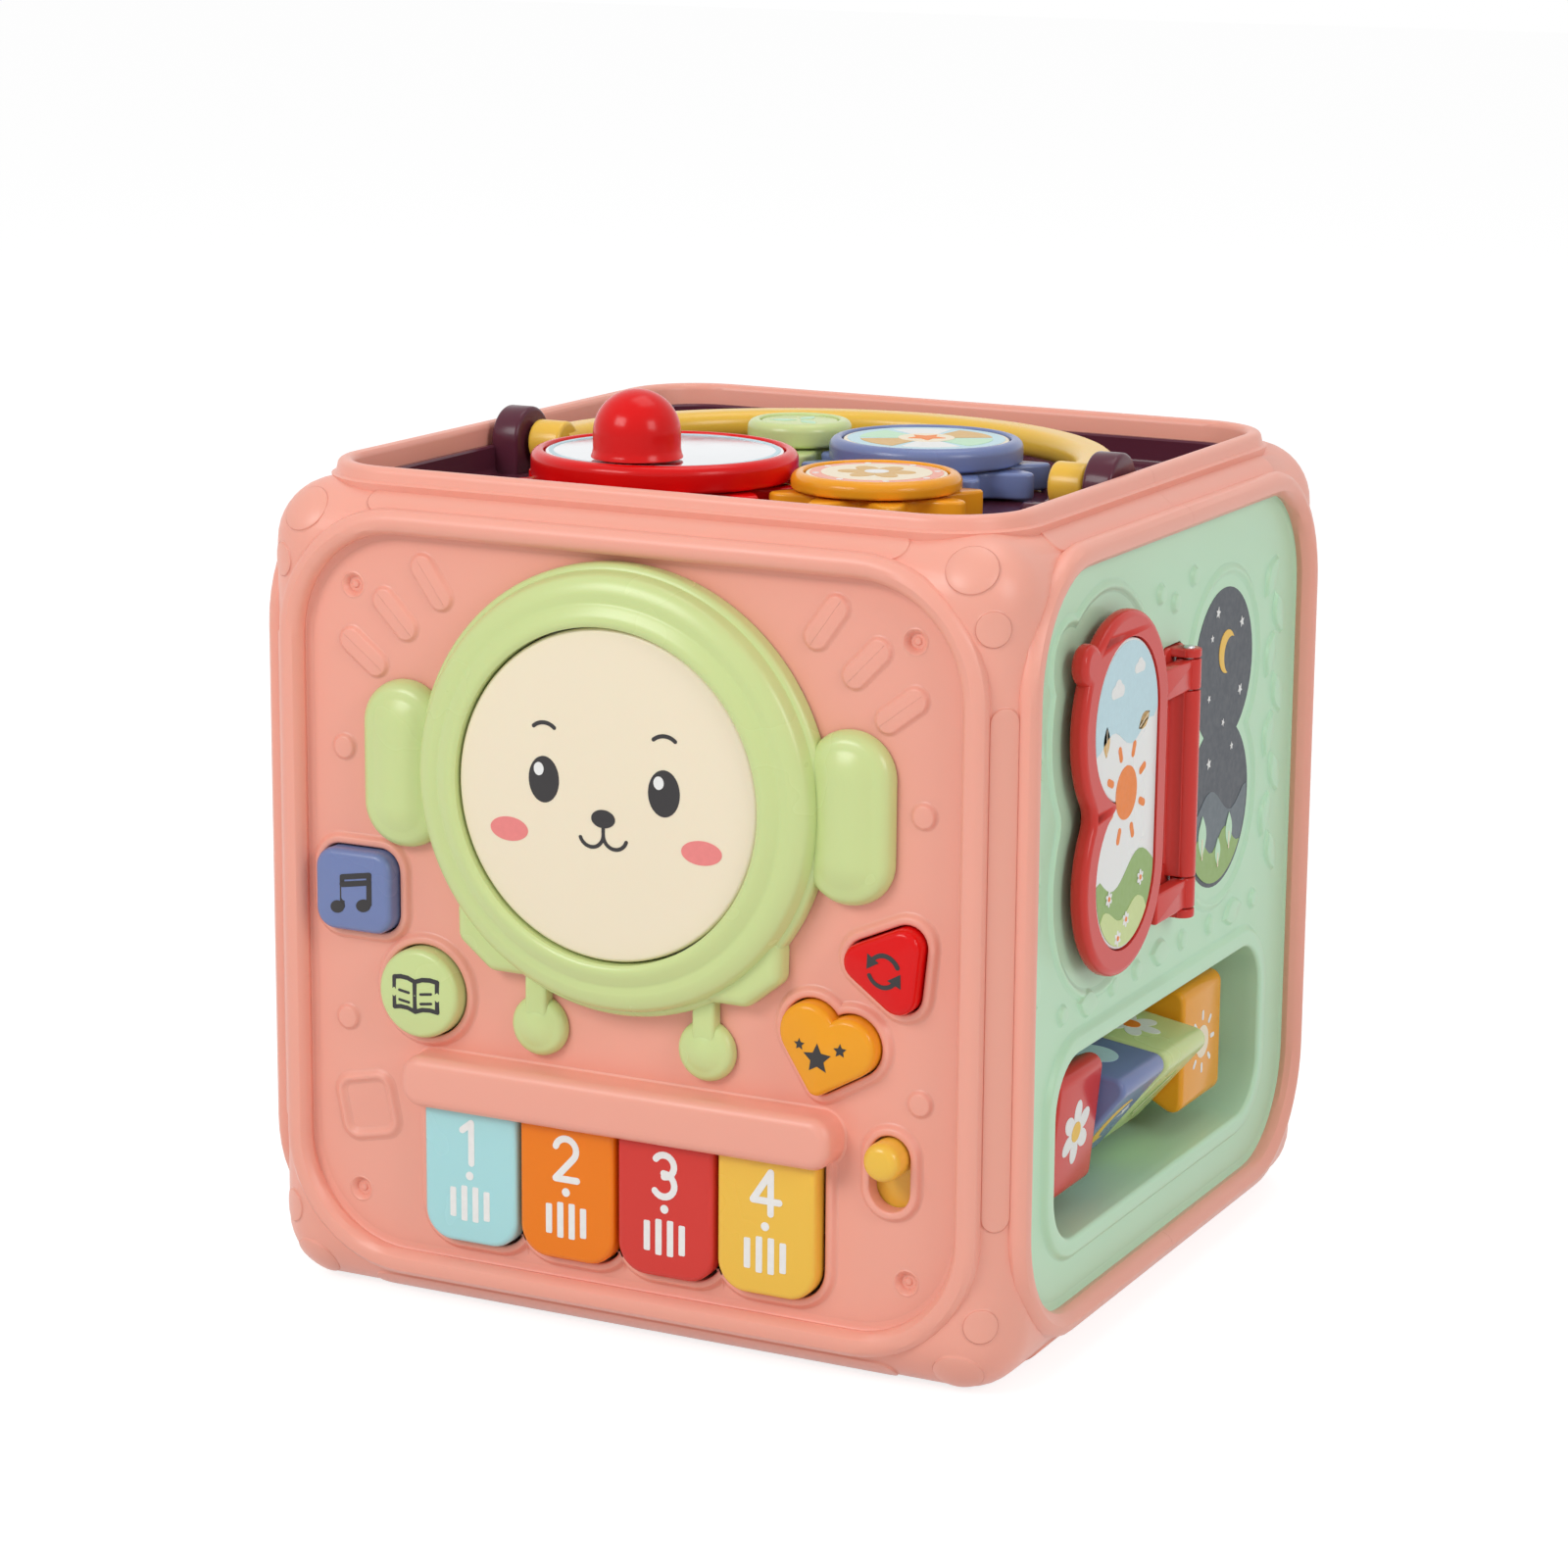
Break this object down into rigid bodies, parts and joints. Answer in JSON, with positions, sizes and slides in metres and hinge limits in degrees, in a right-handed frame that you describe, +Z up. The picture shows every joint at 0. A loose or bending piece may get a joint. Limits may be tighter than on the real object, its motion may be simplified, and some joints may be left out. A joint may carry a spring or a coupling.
{
  "type": "activity cube",
  "caption": "Rounded play cube with a pat drum, piano keys and buttons in front, a hinged leaf and turning blocks at the side, and a cranked gear train under a carry handle on top.",
  "frame": {"origin": "on the floor, under the middle of the cube", "axes": "+Z up; -Y out of the front with the drum and keys; +X out of the side with the leaf and the turning blocks"},
  "size_m": [0.174, 0.1783, 0.1861],
  "materials": {
    "pink": "satin moulded plastic",
    "green": "soft gloss",
    "cream": "satin",
    "cyan": "gloss",
    "orange": "gloss",
    "red": "gloss",
    "coral": "gloss",
    "yellow": "gloss",
    "blue": "gloss",
    "mint": "satin",
    "sky": "satin",
    "lemon": "satin",
    "plum": "satin",
    "white": "gloss",
    "mirror": "safety mirror film",
    "board": "circuit board",
    "steel": "plain",
    "black": "satin",
    "cell": "gloss"
  },
  "bodies": {
    "housing": {"frame_front": "pink", "frame_rear": "pink", "front_panel": "pink", "right_panel": "mint", "back_panel": "lemon", "left_panel": "sky", "top_tray": "plum", "base_panel": "cream", "battery_door": "cream", "circuit_board": "board", "drum_bezel": "green", "key_rod": "steel", "book_spine": "coral", "book_pin": "steel", "block_axle": "white", "handle_pin_left": "steel", "handle_pin_right": "steel", "hand_cap": "yellow", "bead_rod": "steel", "spinner_cap": "white", "battery_1": "cell", "battery_2": "cell", "battery_3": "cell", "speaker": "black"},
    "crank": {"crank_gear": "coral", "crank_disc": "mirror", "crank_knob": "coral"},
    "orange_wheel": {"orange_gear": "orange", "orange_disc": "orange"},
    "blue_wheel": {"blue_gear": "blue", "blue_disc": "blue"},
    "green_wheel": {"green_gear": "green", "green_disc": "green"},
    "leaf": {"book_leaf": "coral", "book_insert": "white"},
    "handle": {"carry_handle": "yellow"},
    "drum_pad": {"drum_pad": "cream"},
    "key_1": {"key_1": "cyan"},
    "key_2": {"key_2": "orange"},
    "key_3": {"key_3": "coral"},
    "key_4": {"key_4": "yellow"},
    "square_button": {"square_button": "blue"},
    "round_button": {"round_button": "green"},
    "triangle_button": {"triangle_button": "red"},
    "heart_button": {"heart_button": "orange"},
    "mode_switch": {"mode_switch": "yellow"},
    "red_block": {"red_block": "red"},
    "blue_block": {"blue_block": "blue"},
    "green_block": {"green_block": "green"},
    "orange_block": {"orange_block": "orange"},
    "hour_hand": {"hour_hand": "red"},
    "minute_hand": {"minute_hand": "blue"},
    "red_bead": {"red_bead": "red"},
    "yellow_bead": {"yellow_bead": "yellow"},
    "blue_bead": {"blue_bead": "blue"},
    "flower_spinner": {"flower_spinner": "coral"},
    "track_knob": {"track_knob": "blue"}
  },
  "joints": [
    {"name": "drum_press", "type": "slide", "parent": "housing", "child": "drum_pad", "axis": [0, 1, 0], "range_m": [0, 0.002], "stiffness_N_per_m": 2500},
    {"name": "key_1_press", "type": "hinge", "parent": "housing", "child": "key_1", "pos_m": [-0.0333, -0.0777, 0.0478], "axis": [1, 0, 0], "range_deg": [0, 5.5], "stiffness_Nm_per_rad": 0.3},
    {"name": "key_2_press", "type": "hinge", "parent": "housing", "child": "key_2", "pos_m": [-0.0111, -0.0777, 0.0478], "axis": [1, 0, 0], "range_deg": [0, 5.5], "stiffness_Nm_per_rad": 0.3},
    {"name": "key_3_press", "type": "hinge", "parent": "housing", "child": "key_3", "pos_m": [0.0111, -0.0777, 0.0478], "axis": [1, 0, 0], "range_deg": [0, 5.5], "stiffness_Nm_per_rad": 0.3},
    {"name": "key_4_press", "type": "hinge", "parent": "housing", "child": "key_4", "pos_m": [0.0333, -0.0777, 0.0478], "axis": [1, 0, 0], "range_deg": [0, 5.5], "stiffness_Nm_per_rad": 0.3},
    {"name": "square_press", "type": "slide", "parent": "housing", "child": "square_button", "axis": [0, 1, 0], "range_m": [0, 0.0025], "stiffness_N_per_m": 1200},
    {"name": "round_press", "type": "slide", "parent": "housing", "child": "round_button", "axis": [0, 1, 0], "range_m": [0, 0.0025], "stiffness_N_per_m": 1200},
    {"name": "triangle_press", "type": "slide", "parent": "housing", "child": "triangle_button", "axis": [0, 1, 0], "range_m": [0, 0.0025], "stiffness_N_per_m": 1200},
    {"name": "heart_press", "type": "slide", "parent": "housing", "child": "heart_button", "axis": [0, 1, 0], "range_m": [0, 0.0025], "stiffness_N_per_m": 1200},
    {"name": "switch_slide", "type": "slide", "parent": "housing", "child": "mode_switch", "axis": [0, 0, -1], "range_m": [0, 0.0066]},
    {"name": "leaf_turn", "type": "hinge", "parent": "housing", "child": "leaf", "pos_m": [0.0844, 0.001, 0.107], "axis": [0, 0, 1], "range_deg": [0, 172]},
    {"name": "red_block_spin", "type": "hinge", "parent": "housing", "child": "red_block", "pos_m": [0.0681, -0.0345, 0.0427], "axis": [0, 1, 0], "continuous": true},
    {"name": "blue_block_spin", "type": "hinge", "parent": "housing", "child": "blue_block", "pos_m": [0.0681, -0.0115, 0.0427], "axis": [0, 1, 0], "continuous": true},
    {"name": "green_block_spin", "type": "hinge", "parent": "housing", "child": "green_block", "pos_m": [0.0681, 0.0115, 0.0427], "axis": [0, 1, 0], "continuous": true},
    {"name": "orange_block_spin", "type": "hinge", "parent": "housing", "child": "orange_block", "pos_m": [0.0681, 0.0345, 0.0427], "axis": [0, 1, 0], "continuous": true},
    {"name": "crank_turn", "type": "hinge", "parent": "housing", "child": "crank", "pos_m": [-0.0174, -0.0328, 0.1632], "axis": [0, 0, 1], "continuous": true},
    {"name": "orange_turn", "type": "hinge", "parent": "housing", "child": "orange_wheel", "pos_m": [0.02766, -0.02727, 0.1632], "axis": [0, 0, 1], "continuous": true},
    {"name": "blue_turn", "type": "hinge", "parent": "housing", "child": "blue_wheel", "pos_m": [0.01986, 0.01288, 0.1632], "axis": [0, 0, 1], "continuous": true},
    {"name": "green_turn", "type": "hinge", "parent": "housing", "child": "green_wheel", "pos_m": [-0.01501, 0.02334, 0.1632], "axis": [0, 0, 1], "continuous": true},
    {"name": "handle_swing", "type": "hinge", "parent": "housing", "child": "handle", "pos_m": [0, -0.004, 0.1668], "axis": [1, 0, 0], "range_deg": [0, 95]},
    {"name": "hour_turn", "type": "hinge", "parent": "housing", "child": "hour_hand", "pos_m": [-0.0827, 0, 0.107], "axis": [-1, 0, 0], "continuous": true},
    {"name": "minute_turn", "type": "hinge", "parent": "housing", "child": "minute_hand", "pos_m": [-0.0837, 0, 0.107], "axis": [-1, 0, 0], "continuous": true},
    {"name": "red_bead_slide", "type": "slide", "parent": "housing", "child": "red_bead", "axis": [0, 1, 0], "range_m": [-0.0065, 0.009]},
    {"name": "yellow_bead_slide", "type": "slide", "parent": "housing", "child": "yellow_bead", "axis": [0, 1, 0], "range_m": [-0.0065, 0.0065]},
    {"name": "blue_bead_slide", "type": "slide", "parent": "housing", "child": "blue_bead", "axis": [0, 1, 0], "range_m": [-0.009, 0.0065]},
    {"name": "spinner_turn", "type": "hinge", "parent": "housing", "child": "flower_spinner", "pos_m": [0, 0.0832, 0.1065], "axis": [0, 1, 0], "continuous": true},
    {"name": "track_slide", "type": "slide", "parent": "housing", "child": "track_knob", "axis": [1, 0, 0], "range_m": [-0.04, 0.04]}
  ],
  "couplings": [
    {"joint": "orange_turn", "follows": "crank_turn", "ratio": -1.5},
    {"joint": "blue_turn", "follows": "crank_turn", "ratio": 1.2},
    {"joint": "green_turn", "follows": "crank_turn", "ratio": -2}
  ]
}
